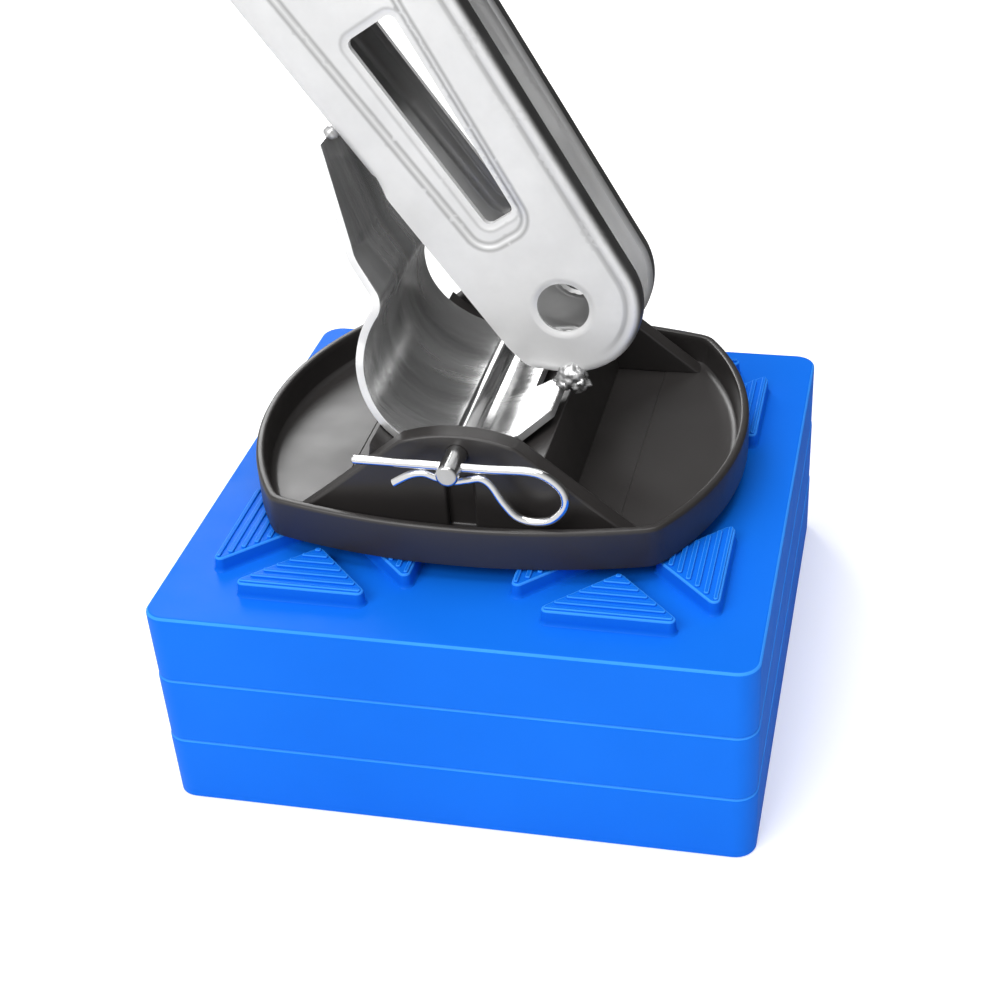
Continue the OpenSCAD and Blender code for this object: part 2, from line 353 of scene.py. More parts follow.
def inset(pts, d):
    """The closed counterclockwise outline moved inwards by d."""
    p = np.array(pts, float)
    a, c = np.roll(p, 1, 0), np.roll(p, -1, 0)
    e0, e1 = p - a, c - p
    e0 /= np.linalg.norm(e0, axis=1)[:, None]
    e1 /= np.linalg.norm(e1, axis=1)[:, None]
    n0 = np.stack([-e0[:, 1], e0[:, 0]], 1)
    n1 = np.stack([-e1[:, 1], e1[:, 0]], 1)
    m = n0 + n1
    m /= np.linalg.norm(m, axis=1)[:, None]
    k = np.clip((m * n0).sum(1), 0.5, 1)
    return p + m * (d / k)[:, None]


def loft(name, outline, levels, mats, cap0=True, cap1=True, highlight_bands=()):
    """Rings of the same outline, which is points or a function of the inset: levels are (inset, z). The bands listed
    take the second material, which the blocks use for a painted highlight.
    """
    rings = [outline(d) if callable(outline) else inset(outline, d) for d, _ in levels]
    n = len(rings[0])
    verts = [(x, y, z) for (d, z), ring in zip(levels, rings) for x, y in ring]
    faces = []
    for i in range(len(levels) - 1):
        for j in range(n):
            k = (j + 1) % n
            faces.append((i * n + j, i * n + k, (i + 1) * n + k, (i + 1) * n + j))
    if cap0:
        faces.append(list(range(n))[::-1])
    if cap1:
        faces.append([(len(levels) - 1) * n + j for j in range(n)])
    highlight_index = [1 if i in highlight_bands else 0 for i in range(len(levels) - 1) for j in range(n)]
    return make(name, verts, faces, mats, (highlight_index + [0, 0])[:len(faces)] if highlight_bands else None)


def plate_y(name, outline, y0, y1, mats):
    """An (x, z) outline as a solid between y0 and y1."""
    n = len(outline)
    verts = [(x, y0, z) for x, z in outline] + [(x, y1, z) for x, z in outline]
    faces = [list(range(n)), list(range(2 * n - 1, n - 1, -1))]
    faces += [(j, n + j, n + (j + 1) % n, (j + 1) % n) for j in range(n)]
    return make(name, verts, faces, mats)


def box(name, lo, hi, mats):
    return plate_y(name, [(lo[0], lo[2]), (hi[0], lo[2]), (hi[0], hi[2]), (lo[0], hi[2])], lo[1], hi[1], mats)


def lathe_y(name, profile, cx, cz, mats, n=48, closed=False):
    """profile of (radius, y) turned about a line along Y through (cx, cz)."""
    verts, faces = [], []
    for r, y in profile:
        verts += [(cx + r * cos(2 * pi * k / n), y, cz + r * sin(2 * pi * k / n)) for k in range(n)]
    m = len(profile)
    for i in range(m if closed else m - 1):
        for k in range(n):
            l = (k + 1) % n
            i2 = (i + 1) % m
            faces.append((i * n + k, i * n + l, i2 * n + l, i2 * n + k))
    if not closed:
        faces.append(list(range(n)))
        faces.append([(m - 1) * n + k for k in range(n)][::-1])
    return make(name, verts, faces, mats)


def catmull(pts, k=10):
    p = [np.array(q, float) for q in pts]
    out = []
    for i in range(len(p) - 1):
        a, b, c, d = p[max(i - 1, 0)], p[i], p[i + 1], p[min(i + 2, len(p) - 1)]
        for j in range(k):
            t = j / k
            out.append(0.5 * (2 * b + (c - a) * t + (2 * a - 5 * b + 4 * c - d) * t * t + (3 * b - a - 3 * c + d) * t ** 3))
    out.append(p[-1])
    return np.array(out)


# ---------------------------------------------------------------- levelling blocks
def block_outline():
    return rounded([(-BW, -BW), (BW, -BW), (BW, BW), (-BW, BW)], 8, 8)


def make_block(name, body, z0):
    parts = []
    o = block_outline()
    # outer skin, top face, and the hollow underside
    shell = [(3.0, 0.0), (0.45, 0.0), (0.28, 0.18), (0.2, 6), (0.0, BH - 2.2)]
    fr = 1.4
    shell += [(fr * (1 - cos(a)), BH - fr + fr * sin(a)) for a in [rad(q) for q in (0, 22, 45, 68, 90)]]
    rings = [inset(o, d) for d, _ in shell]
    n = len(o)
    verts = [(x, y, z0 + z) for (d, z), ring in zip(shell, rings) for x, y in ring]
    faces = []
    for i in range(len(shell) - 1):
        faces += [(i * n + j, i * n + (j + 1) % n, (i + 1) * n + (j + 1) % n, (i + 1) * n + j) for j in range(n)]
    last = len(shell) - 1
    # the top edge's rounded rings take the lighter blue: a painted highlight
    highlight_index = [1 if i in (last - 3, last - 2) else 0 for i in range(last) for j in range(n)]
    faces.append([last * n + j for j in range(n)])
    # cavity: down from its roof to the lower lip
    base = len(verts)
    ri = inset(o, 3.0)
    verts += [(x, y, z0 + BH - 3.5) for x, y in ri]
    faces += [(j, base + j, base + (j + 1) % n, (j + 1) % n) for j in range(n)]
    faces.append([base + j for j in range(n)][::-1])
    highlight_index += [0] * (len(faces) - len(highlight_index))
    parts.append(make(name + "_shell", verts, faces, [M_BLUE, M_BLUE_HIGHLIGHT], highlight_index))
    # ribs under the top plate
    for a in (0, 1):
        for s in (-1, 1):
            lo = [s * 16.2 - 1.3, -BW + 2.8, z0 + BH - 7.5]
            hi = [s * 16.2 + 1.3, BW - 2.8, z0 + BH - 3.3]
            if a:
                lo[0], lo[1] = lo[1], lo[0]
                hi[0], hi[1] = hi[1], hi[0]
            parts.append(box("rib", lo, hi, M_BLUE))
    ring = [(7 * cos(2 * pi * k / 32), 7 * sin(2 * pi * k / 32)) for k in range(32)]
    parts.append(loft("post", ring, [(0.6, z0), (0, z0 + 0.6), (0, z0 + BH - 3.3)], M_BLUE))
    # studs, each with its grip ridges
    h = STUD_H
    half, gap = 36.7, 9.8
    w = half - gap
    tri = rounded([(half, -w), (half, w), (gap, 0)], 2.5, 6)
    prof = [(-0.9, -0.3), (-0.5, 0.12), (-0.12, 0.75), (0.0, 1.6), (0.30, h - 1.5), (0.55, h - 1.05), (1.0, h - 0.85), (2.0, h - 0.85)]
    for sx in (-1, 1):
        for sy in (-1, 1):
            gx, gy = sx * 54.6, sy * 54.6
            for q in range(4):
                ca, sa = cos(q * pi / 2), sin(q * pi / 2)

                def place(ob):
                    me = ob.data
                    for v in me.vertices:
                        x, y, z = (c * 1000 for c in v.co)
                        v.co = ((gx + ca * x - sa * y) * 0.001, (gy + sa * x + ca * y) * 0.001, (z0 + BH + z) * 0.001)
                    return ob

                # the stud's top rounding takes the lighter blue: a painted highlight
                parts.append(place(loft("stud", tri, prof, [M_BLUE, M_BLUE_HIGHLIGHT], highlight_bands=(4, 5))))
                # ridges run along the stud's long edge
                for k in range(7):
                    d = half - 1.9 - 3.6 * k
                    hw = (d - gap) - 2.3
                    if k == 0:
                        hw -= 0.6
                    if hw < 0.9:
                        continue
                    rt = h
                    wt = 0.95 if k else 0.8
                    bar = rounded([(d - wt, -hw), (d + wt, -hw), (d + wt, hw), (d - wt, hw)], 0.7, 3)
                    # the ridge's top rounding takes the lighter blue: a painted highlight
                    parts.append(place(loft("ridge", bar, [(0, h - 1.2), (0.05, rt - 0.35), (0.2, rt - 0.1), (0.42, rt)], [M_BLUE, M_BLUE_HIGHLIGHT], highlight_bands=(1, 2))))
    ob = join(name + "_body", parts)
    done(ob, body, "block_plastic", name, angle=40)
    return ob


make_block("block_bottom", "bottom_block", 0)
make_block("block_middle", "middle_block", BH)
make_block("block_top", "top_block", 2 * BH)


# ---------------------------------------------------------------- load pad
def pad_outline(d=0.0, n=360):
    """The dish's outline moved in by d: four arcs that meet in soft corners."""
    pts = []
    circles = [(0, 169.5, 250 - d), (0, -169.5, 250 - d), (-26.6, 0, 119.6 - d), (26.6, 0, 119.6 - d)]
    for k in range(n):
        a = 2 * pi * k / n
        dx, dy = cos(a), sin(a)
        best = 1e9
        for x, y, r in circles:
            b = dx * x + dy * y
            best = min(best, b + math.sqrt(b * b - x * x - y * y + r * r))
        pts.append((best * dx, best * dy))
    # soften the four corners
    p = np.array(pts)
    for _ in range(3):
        p = 0.5 * p + 0.25 * (np.roll(p, 1, 0) + np.roll(p, -1, 0))
    return [(x + PX, y + PY) for x, y in p]


def floor_rise(x):
    """The floor steps up a little towards both ends."""
    return 0.3 * max(0.0, min(1.0, (abs(x - PX) - 53) / 0.3))


def make_pad():
    h = 16
    levels = [(0.9, 0.0), (0.25, 0.35), (0.1, 1.2), (0.05, 8), (0.0, h - 1.6), (0.15, h - 0.8), (0.5, h - 0.25), (1.0, h), (2.3, h),
              (2.9, h - 0.3), (3.25, h - 1.0), (3.5, h - 2.4), (3.9, 8.0), (4.5, 5.4), (5.4, 4.35), (7.0, 4.0), (12, 4.0), (20, 4.0)]
    ob = loft("pad_dish", pad_outline, [(d, PZ + z) for d, z in levels], M_BLACK)
    bm = bmesh.new()
    bm.from_mesh(ob.data)
    for s in (-1, 1):
        geom = [g for g in list(bm.verts) + list(bm.edges) + list(bm.faces)]
        bmesh.ops.bisect_plane(bm, geom=geom, plane_co=((PX + s * 53) * 0.001, 0, 0), plane_no=(1, 0, 0))
        bmesh.ops.bisect_plane(bm, geom=list(bm.verts) + list(bm.edges) + list(bm.faces), plane_co=((PX + s * 53.3) * 0.001, 0, 0), plane_no=(1, 0, 0))
    for v in bm.verts:
        z = v.co.z * 1000 - PZ
        if 0 < z < 6 and not (z < 3.9):
            fade = 1 if z <= 4.4 else max(0, (6 - z) / 1.6)
            v.co.z += floor_rise(v.co.x * 1000) * 0.001 * fade
    bm.to_mesh(ob.data)
    bm.free()
    parts = [ob]
    # ears, with the pin's bore and the upright groove below it
    top = []
    for i in range(17):
        a = rad(110.5 - 41 * i / 16)
        top.append((PX + 60 * cos(a), PIN_Z - 52.6 + 60 * sin(a)))
    base = PZ + 3.6
    prof = [(PX - 68, base)] + [(PX - 53, PZ + 15.5)] + top + [(PX + 53, PZ + 15.5), (PX + 68, base)]
    for y0, face in ((EAR0 - EAR_T, -1), (EAR1, 1)):
        e = plate_y("ear", prof[::-1], y0, y0 + EAR_T, M_BLACK)
        fy = y0 if face < 0 else y0 + EAR_T
        g = box("groove", (PX - 5, min(fy - face * 3.0, fy + face * 2), PZ + 7), (PX + 5, max(fy - face * 3.0, fy + face * 2), PIN_Z - 5), M_BLACK)
        cut(e, g)
        bevel(e, 1.1, 3, 25)
        bore = lathe_y("bore", [(4.12, y0 - 3), (4.12, y0 + EAR_T + 6)] if face < 0 else [(4.12, y0 - 6), (4.12, y0 + EAR_T + 3)], PX, PIN_Z, M_BLACK, 40)
        cut(e, bore)
        parts.append(e)
    # cradle between the ears
    r = CR + 0.3
    arc = [(CX + r * cos(rad(a)), CZ + r * sin(rad(a))) for a in np.linspace(222, 282, 25)]
    lx, lz = arc[-1]
    out = [(-42, base)] + arc + [(25.5, lz + (25.5 - lx) * math.tan(rad(12))), (31, base)]
    c = plate_y("cradle", out[::-1], EAR0 - 0.6, EAR1 + 0.6, M_BLACK)
    bevel(c, 0.9, 2, 35)
    parts.append(c)
    pad = join("load_pad", parts)
    done(pad, "pad", "pad_plastic", "foot_pad", angle=32)


make_pad()


# ---------------------------------------------------------------- pin and clip
PIN0 = EAR0 - EAR_T - 15
CLIP_Y = EAR0 - EAR_T - 7.7
WIRE = 1.6


def make_pin():
    hy = EAR1 + EAR_T + 0.5
    prof = [(2.6, PIN0), (3.3, PIN0 + 0.15), (3.75, PIN0 + 0.5), (4.0, PIN0 + 1.1), (4.0, PIN0 + 4), (4.0, hy - 2), (4.0, hy - 0.001),
            (6.6, hy), (7.0, hy + 0.5), (7.0, hy + 2.6), (6.5, hy + 3.5), (5.5, hy + 4.0)]
    pin = lathe_y("pin", prof, PX, PIN_Z, M_PIN, 56)
    n = 28
    verts = []
    for x in (-9, 9):
        verts += [(PX + x, CLIP_Y + 1.78 * cos(2 * pi * k / n), PIN_Z + 1.78 * sin(2 * pi * k / n)) for k in range(n)]
    faces = [(k, (k + 1) % n, n + (k + 1) % n, n + k) for k in range(n)] + [list(range(n)), list(range(2 * n - 1, n - 1, -1))]
    cut(pin, make("hole", verts, faces, M_PIN))
    done(pin, "pin", "pin_steel", "clevis_pin", angle=35)


def tube(name, path, r, mats, n=18, y=0.0):
    """A round wire along an (x, z) path in the plane y, with rounded ends."""
    p = np.array(path, float)
    d = np.gradient(p, axis=0)
    d /= np.linalg.norm(d, axis=1)[:, None]
    nrm = np.stack([-d[:, 1], d[:, 0]], 1)
    stations = []
    for k in (0, 30, 55, 75):
        stations.append((p[0] - d[0] * r * 0.45 * (1 - sin(rad(k))) + d[0] * r * 0.45, nrm[0], r * (0.62 + 0.38 * sin(rad(k)))))
    for q, m in zip(p[1:-1], nrm[1:-1]):
        stations.append((q, m, r))
    for k in (75, 55, 30, 0):
        stations.append((p[-1] + d[-1] * r * 0.45 * (1 - sin(rad(k))) - d[-1] * r * 0.45, nrm[-1], r * (0.62 + 0.38 * sin(rad(k)))))
    verts, faces = [], []
    for q, m, rr in stations:
        verts += [(q[0] + rr * cos(2 * pi * k / n) * m[0], y + rr * sin(2 * pi * k / n), q[1] + rr * cos(2 * pi * k / n) * m[1]) for k in range(n)]
    for i in range(len(stations) - 1):
        faces += [(i * n + k, i * n + (k + 1) % n, (i + 1) * n + (k + 1) % n, (i + 1) * n + k) for k in range(n)]
    faces += [list(range(n))[::-1], [(len(stations) - 1) * n + k for k in range(n)]]
    return make(name, verts, faces, mats)


def make_clip():
    pts = [(-35.5, 0), (-20, 0), (0, 0), (14, 0), (27, 0.3), (33.5, -1.6), (38.5, -6.6), (39, -13), (34.5, -18.6), (28, -20.2), (22, -18.6),
           (17.5, -13.2), (13.5, -6.2), (10, -3.9), (5.5, -4.8), (0, -5.9), (-5.5, -4.8), (-10, -3.4), (-15, -4.6), (-21.5, -8.6)]
    path = catmull(pts, 10) + np.array([PX, PIN_Z])
    ob = tube("spring_clip", path, WIRE, M_CLIP, 20, CLIP_Y)
    done(ob, "clip", "clip_steel", "r_clip", angle=60, weighted=False)


make_pin()
make_clip()


# ---------------------------------------------------------------- curved foot plate
def shoe_profile():
    r = CR - 3
    s_ang, s_r = 145, 8
    sx = CX + (r + s_r) * cos(rad(s_ang))
    sz = CZ + (r + s_r) * sin(rad(s_ang))
    top = catmull([(-56.2, PZ + 130.5), (-50.8, PZ + 114), (-45.6, PZ + 98)], 10)[:-1]
    bend = catmull([(-45.6, PZ + 98), (-44.6, PZ + 94.6), (-43.2, PZ + 92), (-41.4, PZ + 89.4)], 4)[:-1]
    a35 = [(sx + s_r * cos(rad(a)), sz + s_r * sin(rad(a))) for a in np.linspace(35, -35, 15)]
    line = [tuple(np.array([-41.4, PZ + 89.4]) * (1 - t) + np.array(a35[0]) * t) for t in np.linspace(0, 1, 5)[:-1]]
    arc = [(CX + r * cos(rad(a)), CZ + r * sin(rad(a))) for a in np.linspace(s_ang, 288, 60)][1:]
    ex, ez = arc[-1]
    tail = [(ex + t * cos(rad(18)), ez + t * sin(rad(18))) for t in np.linspace(0, 29, 30)][1:]
    return np.array([tuple(q) for q in top] + [tuple(q) for q in bend] + line + a35 + arc + tail)


def half_width(x, z, on_tail):
    zs = [PZ + v for v in (5, 33, 44, 57, 64, 79, 98, 130, 135)]
    ws = [48, 48, 45.5, 42.5, 40, 37, 31, 21, 20.5]
    w = float(np.interp(z, zs, ws))
    if x > 14:
        w = min(w, float(np.interp(x, [14, 33, 50], [47.5, 19.5, 10])))
    return w


def make_foot_plate():
    prof = shoe_profile()
    keep = [prof[0]]
    for q in prof[1:]:
        if np.linalg.norm(q - keep[-1]) > 0.35:
            keep.append(q)
    prof = np.array(keep)
    n = len(prof)
    start = next(i for i in range(n) if i > 60 and prof[i][0] > 12.6)
    cols_o, cols_i = 16, 8
    verts, index = [], {}
    total = 2 * cols_o + cols_i + 1
    for i, (x, z) in enumerate(prof):
        w = half_width(x, z, i >= start)
        notch = float(np.interp(x, [12.5, 24, 60], [12, 6, 4])) if i >= start else min(12.0, w * 0.5)
        notch = min(notch, w - 1.5)
        ys = list(np.linspace(-w, -notch, cols_o + 1)) + list(np.linspace(-notch, notch, cols_i + 1))[1:-1] + list(np.linspace(notch, w, cols_o + 1))
        for j, y in enumerate(ys):
            verts.append((x, PY + y, z))
    faces = []
    for i in range(n - 1):
        for j in range(total - 1):
            if i >= start and cols_o <= j < cols_o + cols_i:
                continue
            a = i * total + j
            faces.append((a, a + 1, a + total + 1, a + total))
    ob = make("foot_plate_sheet", verts, faces, [M_PLATE, M_EDGE], recalc=False)
    # drop unused points
    bm = bmesh.new()
    bm.from_mesh(ob.data)
    bmesh.ops.delete(bm, geom=[v for v in bm.verts if not v.link_faces], context="VERTS")
    bmesh.ops.recalc_face_normals(bm, faces=bm.faces)
    # normals must face the concave side
    mid = min(bm.faces, key=lambda f: (f.calc_center_median() - Vector((CX * 0.001, PY * 0.001, (CZ - 29) * 0.001))).length)
    if mid.normal.z < 0:
        bmesh.ops.reverse_faces(bm, faces=bm.faces)
    bm.to_mesh(ob.data)
    bm.free()
    s = ob.modifiers.new("solid", "SOLIDIFY")
    s.thickness = 0.003
    s.offset = -1
    s.use_even_offset = True
    s.material_offset_rim = 1
    bake(ob)
    bevel(ob, 0.35, 2, 50)
    done(ob, "leg", "plate_steel", "foot_plate", angle=40)


make_foot_plate()


# ---------------------------------------------------------------- leg
def under(u):
    return 27 + 0.055 * u


def over(u):
    return 28.5 + 0.05 * u


R_LOW, R_UP = 4.0, 3.3
WEB_U = 78.0
END_R = 28.5
LIP = R_UP * pi / 2 + 3.8
TOP_R = 36.0


def smooth(t):
    t = max(0.0, min(1.0, t))
    return t * t * (3 - 2 * t)


def dist_to(poly, p):
    """Signed distance from p to a closed outline, negative inside."""
    a = poly
    b = np.roll(poly, -1, 0)
    ab = b - a
    t = np.clip(((p - a) * ab).sum(1) / (ab ** 2).sum(1), 0, 1)
    d = np.linalg.norm(p - (a + ab * t[:, None]), axis=1).min()
    x, y = p
    cross = ((a[:, 1] > y) != (b[:, 1] > y)) & (x < (b[:, 0] - a[:, 0]) * (y - a[:, 1]) / (b[:, 1] - a[:, 1] + 1e-12) + a[:, 0])
    return -d if cross.sum() % 2 else d


def resample(poly, step):
    p = np.array(poly, float)
    out = []
    for i in range(len(p)):
        a, b = p[i], p[(i + 1) % len(p)]
        k = max(1, int(round(np.linalg.norm(b - a) / step)))
        for j in range(k):
            out.append(a + (b - a) * j / k)
    return np.array(out)


# drawn with u up the leg and v towards its open side
SLOT = rounded([(39, -5.8), (117.5, -9.0), (117.5, 11.2), (39, 5.9)], 2.6, 5)
PANEL = np.array(rounded([(31.5, -13), (205, -25.0), (205, 22.0), (31.5, 8.7)], 8, 8))
SLOT_NP = np.array(SLOT)


def end_r(deg):
    return END_R + (27.0 - END_R) * smooth((deg - 90) / 120)


def end_fade(deg):
    return smooth((258 - deg) / 45)


def flat_outline():
    """The side plate unrolled: it takes in half the web and the rolled lip."""
    pts = []
    half_web = LEG_W / 2
    # lower edge of the web, from the foot upwards, along the middle of the web
    def low(u, e):
        return (u, -(under(u) - R_LOW) - e)
    full = R_LOW * pi / 2 + (half_web - R_LOW)
    pts.append(low(WEB_U - 4, R_LOW * 0.55))
    pts.append(low(WEB_U, R_LOW * pi / 2))
    pts.append(low(WEB_U + 1, full * 0.75))
    pts.append(low(WEB_U + 6, full))
    pts.append(low(LEG_L - 18, full))
    pts.append(low(LEG_L - 18, R_LOW * 2.6))
    pts.append(low(LEG_L - 17, R_LOW * 1.9))
    pts.append(low(LEG_L - 14, R_LOW * 1.3))
    for k in range(15):
        a = rad(-75 + 150 * k / 14)
        pts.append((LEG_L + TOP_R * cos(a), TOP_R * sin(a)))
    lip = LIP
    def up(u, e):
        return (u, over(u) - R_UP + e)
    pts.append(up(LEG_L - 8, R_UP * 0.8))
    pts.append(up(LEG_L - 14, lip * 0.9))
    pts.append(up(LEG_L - 18, lip))
    for u in (100, 60, 40, 20, 8):
        pts.append(up(u, lip))
    for k in range(0, 37):
        t = k / 36
        a = rad(90 + 178 * t)
        e = R_UP + (lip - R_UP) * end_fade(90 + 178 * t)
        rr = end_r(90 + 178 * t) - R_UP + e
        pts.append((rr * cos(a), rr * sin(a)))
    pts.append((20, -under(20)))
    pts.append((WEB_U - 12, -under(WEB_U - 12)))
    return pts[::-1]


def roll_over(e, k):
    """How far out and how far in a point of the rolled lip lies, e beyond the bend line. k is 1 for the full roll."""
    if e < R_UP * pi / 2:
        o, d = R_UP * sin(e / R_UP), R_UP * (1 - cos(e / R_UP))
    else:
        o, d = R_UP, R_UP + e - R_UP * pi / 2
    return e + (o - e) * k, d * k


def fold(u, v, y0):
    """The unrolled point's place on the folded leg: (u, v, y), y0 being the near plate's outer face."""
    y = y0
    lo = -(under(u) - R_LOW)
    hi = over(u) - R_UP
    if v < lo and u > WEB_U - 14:
        e = lo - v
        k = smooth((u - (WEB_U - 14)) / 12)
        if e < R_LOW * pi / 2:
            bent = (lo - R_LOW * sin(e / R_LOW), y0 + R_LOW * (1 - cos(e / R_LOW)))
        else:
            bent = (lo - R_LOW, y0 + R_LOW + e - R_LOW * pi / 2)
        v2, y2 = bent
        v, y = v + (v2 - v) * k, y + (y2 - y0) * k
    elif u >= 0 and v > hi:
        v, dy = roll_over(v - hi, 1.0)
        v, y = v + hi, y0 + dy
    elif u < 0:
        r = math.hypot(u, v)
        deg = math.degrees(math.atan2(v, u)) % 360
        rin = end_r(deg) - R_UP
        if r > rin:
            e, dy = roll_over(r - rin, end_fade(deg))
            u, v, y = u / r * (rin + e), v / r * (rin + e), y0 + dy
    return u, v, y


def press(u, v):
    """How far the sheet is pressed inwards at (u, v): the panel, the slot's raised rim and the hole's dished rim."""
    p = np.array([u, v])
    d = dist_to(PANEL, p)
    depth = 1.0 * smooth((1.2 - d) / 2.4)
    ds = dist_to(SLOT_NP, p)
    if ds < 2.6:
        depth += 0.6 * smooth((2.6 - ds) / 1.6)
    rh = math.hypot(u, v)
    if rh < 11.2:
        depth += 0.7 * smooth((11.2 - rh) / 1.6)
    # shallow crease beside the rolled lip, dying out round the end
    if u >= 0:
        e = over(u) - R_UP - v
    else:
        deg = math.degrees(math.atan2(v, u)) % 360
        e = end_r(deg) - R_UP - rh
    fade = 1.0 if u >= 0 else smooth((150 - math.degrees(math.atan2(v, u)) % 360) / 50)
    if 0 < e < 4.2:
        depth += 0.42 * fade * smooth(1 - abs(e - 1.9) / 1.9)
    return depth


def painted_bend_shade(u, v):
    """How much painted shade the sheet takes at (u, v) of the folded leg, 0 to 1: darker, shinier steel along the
    rolled lip, the crease beside it, the panel's edge and the slot's rim.
    """
    if u >= 0:
        e = v - (over(u) - R_UP)
        fade = 1.0
    else:
        deg = math.degrees(math.atan2(v, u)) % 360
        e = math.hypot(u, v) - (end_r(deg) - R_UP)
        fade = smooth((185 - deg) / 50)
    k = fade * smooth((e - 0.9) / 1.9)
    k = max(k, 0.75 * fade * smooth(1 - abs(e + 2.2) / 1.7))
    d = dist_to(PANEL, np.array([u, v]))
    if abs(d) < 2.4:
        k = max(k, 0.75 * smooth(1 - abs(abs(d) - 1.2) / 1.0))
    if 30 < u < 125:
        ds = dist_to(SLOT_NP, np.array([u, v]))
        k = max(k, 0.45 * smooth(1 - abs(ds - 2.6) / 0.9))
    return k


def leg_sheet():
    outline = resample(flat_outline(), 2.2)
    slot = resample(SLOT, 1.2)
    hole = np.array([(9.5 * cos(2 * pi * k / 56), 9.5 * sin(2 * pi * k / 56)) for k in range(56)])
    pts = [tuple(q) for q in outline] + [tuple(q) for q in slot] + [tuple(q) for q in hole]
    loops = []
    s = 0
    for part in (outline, slot, hole):
        loops += [(s + i, s + (i + 1) % len(part)) for i in range(len(part))]
        s += len(part)
    out_np = outline
    # lines that carry the press steps and folds
    extra = []
    for d in (-2.3, -1.2, 0, 1.2, 2.3):
        extra += [tuple(q) for q in resample(inset(PANEL[::1], -d), 2.0)]
    for d in (1.0, 1.8, 2.6, 3.6):
        extra += [tuple(q) for q in resample(inset(SLOT_NP, -d), 1.6)]
    for r in (10.3, 11.2, 12.4):
        extra += [(r * cos(2 * pi * k / 56), r * sin(2 * pi * k / 56)) for k in range(56)]
    for u in np.arange(-2, LEG_L + 30, 3.0):
        if u >= 0:
            for e in [-3.6, -2.8, -1.9, -1.0] + list(np.linspace(0, R_UP * pi / 2, 7)):
                extra.append((u, over(u) - R_UP + e))
        for e in np.linspace(0, R_LOW * pi / 2, 6):
            extra.append((u, -(under(u) - R_LOW) - e))
    for deg in np.arange(92, 215, 3.5):
        for e in [-3.6, -2.8, -1.9, -1.0] + list(np.linspace(0, R_UP * pi / 2, 7)):
            r = end_r(deg) - R_UP + e
            extra.append((r * cos(rad(deg)), r * sin(rad(deg))))
    for u in np.arange(-27, LEG_L + 36, 3.4):
        for v in np.arange(-60, 60, 3.4):
            extra.append((u, v))
    seen = np.array(pts)
    cell = {}
    for q in pts:
        cell.setdefault((int(q[0] // 1), int(q[1] // 1)), []).append(q)

    def free(q):
        cu, cv = int(q[0] // 1), int(q[1] // 1)
        for i in (-1, 0, 1):
            for j in (-1, 0, 1):
                for w in cell.get((cu + i, cv + j), []):
                    if (w[0] - q[0]) ** 2 + (w[1] - q[1]) ** 2 < 0.49:
                        return False
        return True
    for q in extra:
        q = (float(q[0]), float(q[1]))
        if not free(q):
            continue
        v = np.array(q)
        if math.hypot(*q) < 10.0:
            continue
        if dist_to(out_np, v) > -0.6:
            continue
        if 36 < q[0] < 121 and dist_to(SLOT_NP, v) < 0.4:
            continue
        pts.append(q)
        cell.setdefault((int(q[0] // 1), int(q[1] // 1)), []).append(q)
    vo, _, fo, *_ = delaunay_2d_cdt([Vector(q) for q in pts], loops, [], 0, 1e-6)
    P = np.array([(v.x, v.y) for v in vo])
    faces = []
    for f in fo:
        c = P[list(f)].mean(0)
        if dist_to(out_np, c) > 0 or math.hypot(*c) < 9.45 or dist_to(SLOT_NP, c) < 0:
            continue
        a, b = P[f[1]] - P[f[0]], P[f[2]] - P[f[0]]
        if abs(a[0] * b[1] - a[1] * b[0]) < 0.03:
            # three points in a line along an edge
            if min(abs(dist_to(out_np, c)), abs(dist_to(SLOT_NP, c)), abs(math.hypot(*c) - 9.5)) < 0.05:
                continue
        faces.append(tuple(f))
    return P, faces


def make_leg():
    P, faces = leg_sheet()
    halves = []
    for side in (0, 1):
        verts = []
        for u, v in P:
            pr = press(u, v)
            u2, v2, y = fold(u, v, NEAR)
            y += pr
            if side:
                y = 2 * PY - y
            verts.append((HX + u2 * UX + v2 * VX, y, HZ + u2 * UZ + v2 * VZ))
        fs = faces if not side else [f[::-1] for f in faces]
        ob = make("leg_half", verts, fs, [M_LEG, M_LEG_IN_SHADED], recalc=False)
        bm = bmesh.new()
        bm.from_mesh(ob.data)
        bmesh.ops.delete(bm, geom=[v for v in bm.verts if not v.link_faces], context="VERTS")
        bmesh.ops.recalc_face_normals(bm, faces=bm.faces)
        # outer side faces away from the other plate
        big = max(bm.faces, key=lambda f: abs(f.normal.y))
        if (big.normal.y < 0) == bool(side):
            bmesh.ops.reverse_faces(bm, faces=bm.faces)
        bm.to_mesh(ob.data)
        bm.free()
        s = ob.modifiers.new("solid", "SOLIDIFY")
        s.thickness = 0.0022
        s.offset = -1
        s.use_even_offset = False
        # the inner shell takes the darker inside copy of the steel: painted shade
        s.material_offset = 1
        bake(ob)
        halves.append(ob)
    leg = join("leg_channel_sheet", halves)
    leg.data.attributes.new("painted_bend_shade", "FLOAT", "POINT")
    leg.data.attributes.new("open_side_painted_light", "FLOAT", "POINT")
    at, side = leg.data.attributes["painted_bend_shade"], leg.data.attributes["open_side_painted_light"]
    for i, vert in enumerate(leg.data.vertices):
        x, z = vert.co.x * 1000 - HX, vert.co.z * 1000 - HZ
        u, v = x * UX + z * UZ, x * VX + z * VZ
        # painted shade: darker, shinier steel along the bends, the crease and the pressed lines
        at.data[i].value = painted_bend_shade(u, v)
        # painted light: the inside is paler and duller towards its open edge, most near the foot
        side.data[i].value = smooth((v - 4) / 14) * (0.3 + 0.7 * smooth((100 - u) / 90))
    done(leg, "leg", "leg_zinc", "leg_channel", angle=50, weighted=False)


make_leg()


